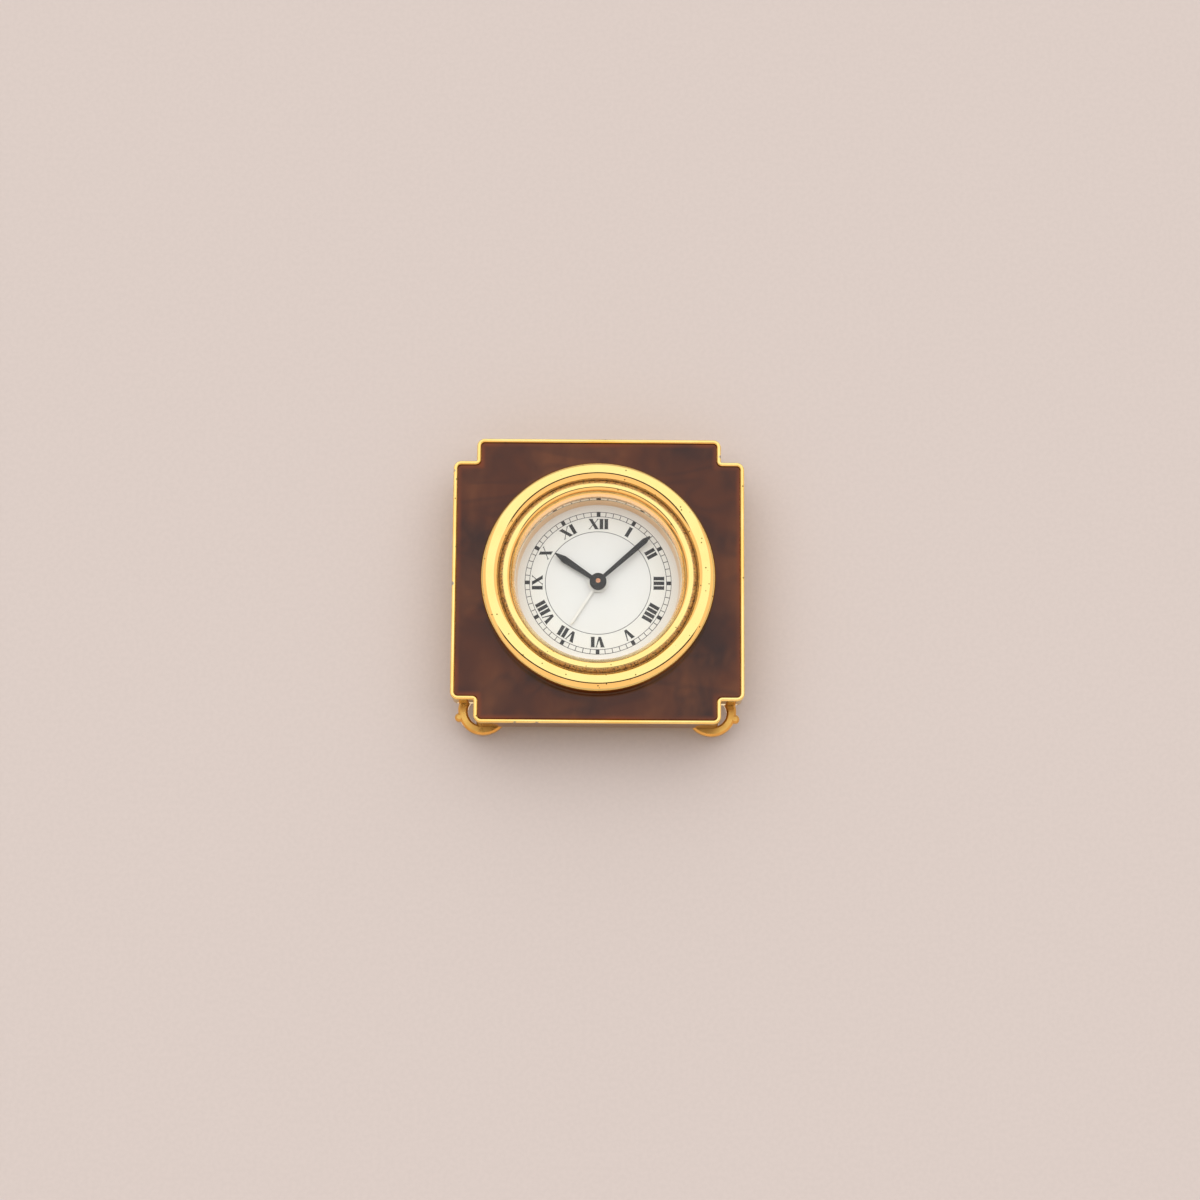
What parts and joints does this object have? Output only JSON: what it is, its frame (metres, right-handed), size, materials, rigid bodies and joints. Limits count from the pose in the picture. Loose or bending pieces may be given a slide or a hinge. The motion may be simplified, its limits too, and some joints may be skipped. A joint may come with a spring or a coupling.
{
  "type": "desk alarm clock",
  "caption": "Square gilt desk alarm clock with stepped corners, lacquered front, round moulded bezel, Roman dial, setting knobs behind and a swing-out stand.",
  "frame": {"origin": "middle of the rear cover's rim, on which the clock lies on its back", "axes": "+Z out of the dial, +Y towards twelve, +X towards three"},
  "size_m": [0.075, 0.0766, 0.0196],
  "materials": {
    "gilt_frame": "polished gilt, fine wear",
    "gilt_bezel": "mirror-polished gilt",
    "gilt_stand": "polished gilt",
    "gilt_back": "fine satin gilt",
    "lacquer": "glossy mottled brown lacquer",
    "crystal": "clear flat glass",
    "seal": "black rubber",
    "dial_white": "satin white with black print",
    "hand_black": "matt black",
    "hand_pale": "satin cream",
    "copper_arbor": "turned bronze",
    "plate_brass": "brushed brass",
    "steel": "brushed",
    "soft_iron": "annealed",
    "copper_wire": "enamelled copper",
    "holder_plastic": "moulded",
    "wheel_plastic": "moulded acetal",
    "slide_black": "moulded",
    "board_green": "solder mask",
    "chip_black": "moulded epoxy",
    "bright_can": "bright tin",
    "magnet": "sintered"
  },
  "bodies": {
    "case": {"case_frame": "gilt_frame", "lacquer_panel": "lacquer", "bezel_ring": "gilt_bezel", "bezel_nut": "plate_brass", "crystal": "crystal", "crystal_gasket": "seal", "rehaut_ring": "gilt_bezel", "dial": "dial_white", "holder_ring": "holder_plastic", "back_plate": "gilt_back", "back_plate_screws": "steel", "rear_cover": "gilt_back", "rear_cover_screws": "steel", "main_plate": "plate_brass", "train_bridge": "plate_brass", "plate_pillars": "plate_brass", "bridge_screws": "steel", "coil_core": "soft_iron", "coil_winding": "copper_wire", "coil_screws": "steel", "stator": "soft_iron", "circuit_board": "board_green", "control_chip": "chip_black", "quartz_can": "bright_can", "sounder_choke": "copper_wire", "buzzer_disc": "plate_brass", "battery": "bright_can", "battery_contact_cap": "steel", "battery_contact_side": "steel", "alarm_contact": "steel", "stand_lugs": "gilt_stand", "stand_pins": "steel", "stand_washers": "steel"},
    "stand": {"stand_bail": "gilt_stand"},
    "hatch": {"battery_hatch": "gilt_back", "hatch_gasket": "seal"},
    "slide": {"alarm_slide": "slide_black"},
    "time_setter": {"time_knob": "gilt_back", "time_setting_pinion": "plate_brass"},
    "alarm_setter": {"alarm_knob": "gilt_back", "alarm_setting_pinion": "plate_brass"},
    "minute_set": {"cannon_pinion": "copper_arbor", "minute_hand": "hand_black"},
    "minute_mobile": {"minute_wheel": "wheel_plastic"},
    "hour_set": {"hour_wheel": "plate_brass", "hour_hand": "hand_black"},
    "alarm_set": {"alarm_wheel": "plate_brass", "alarm_hand": "hand_pale"},
    "centre_mobile": {"centre_wheel": "plate_brass"},
    "third_mobile": {"third_wheel": "plate_brass"},
    "fourth_mobile": {"fourth_wheel": "wheel_plastic"},
    "intermediate_mobile": {"intermediate_wheel": "wheel_plastic"},
    "rotor_mobile": {"rotor_pinion": "wheel_plastic", "rotor_magnet": "magnet"}
  },
  "joints": [
    {"name": "stand_hinge", "type": "hinge", "parent": "case", "child": "stand", "pos_m": [0, 0.01, 0.0055], "axis": [1, 0, 0], "range_deg": [0, 35]},
    {"name": "hatch_turn", "type": "hinge", "parent": "case", "child": "hatch", "pos_m": [0, -0.01304, 0.0024], "axis": [0, 0, 1], "range_deg": [0, 45]},
    {"name": "alarm_slide_travel", "type": "slide", "parent": "case", "child": "slide", "axis": [1, 0, 0], "range_m": [0, 0.003]},
    {"name": "minute_turn", "type": "hinge", "parent": "case", "child": "minute_set", "pos_m": [0, 0, 0.0066], "axis": [0, 0, -1], "continuous": true},
    {"name": "minute_wheel_turn", "type": "hinge", "parent": "case", "child": "minute_mobile", "pos_m": [-0.00685, 0.00413, 0.0066], "axis": [0, 0, -1], "continuous": true},
    {"name": "hour_turn", "type": "hinge", "parent": "case", "child": "hour_set", "pos_m": [0, 0, 0.0075], "axis": [0, 0, -1], "continuous": true},
    {"name": "time_knob_turn", "type": "hinge", "parent": "case", "child": "time_setter", "pos_m": [-0.01083, -0.00394, 0.0066], "axis": [0, 0, -1], "continuous": true},
    {"name": "alarm_knob_turn", "type": "hinge", "parent": "case", "child": "alarm_setter", "pos_m": [0.01083, -0.00394, 0.0084], "axis": [0, 0, -1], "continuous": true},
    {"name": "alarm_turn", "type": "hinge", "parent": "case", "child": "alarm_set", "pos_m": [0, 0, 0.0084], "axis": [0, 0, -1], "continuous": true},
    {"name": "intermediate_turn", "type": "hinge", "parent": "case", "child": "intermediate_mobile", "pos_m": [0.00193, 0.01202, 0.0066], "axis": [0, 0, -1], "continuous": true},
    {"name": "rotor_turn", "type": "hinge", "parent": "case", "child": "rotor_mobile", "pos_m": [-0.00348, 0.01347, 0.0066], "axis": [0, 0, -1], "continuous": true},
    {"name": "fourth_turn", "type": "hinge", "parent": "case", "child": "fourth_mobile", "pos_m": [0.00748, 0.01124, 0.005], "axis": [0, 0, -1], "continuous": true},
    {"name": "third_turn", "type": "hinge", "parent": "case", "child": "third_mobile", "pos_m": [0.00627, 0.00439, 0.0058], "axis": [0, 0, -1], "continuous": true},
    {"name": "centre_turn", "type": "hinge", "parent": "case", "child": "centre_mobile", "pos_m": [0, 0, 0.005], "axis": [0, 0, -1], "continuous": true}
  ],
  "couplings": [
    {"joint": "minute_wheel_turn", "follows": "minute_turn", "ratio": -0.33333},
    {"joint": "hour_turn", "follows": "minute_turn", "ratio": 0.083333},
    {"joint": "time_knob_turn", "follows": "minute_turn", "ratio": 0.66667},
    {"joint": "alarm_turn", "follows": "alarm_knob_turn", "ratio": -0.63636},
    {"joint": "rotor_turn", "follows": "intermediate_turn", "ratio": -6},
    {"joint": "fourth_turn", "follows": "intermediate_turn", "ratio": -0.16667},
    {"joint": "third_turn", "follows": "intermediate_turn", "ratio": 0.026667},
    {"joint": "centre_turn", "follows": "intermediate_turn", "ratio": -0.0033333}
  ]
}
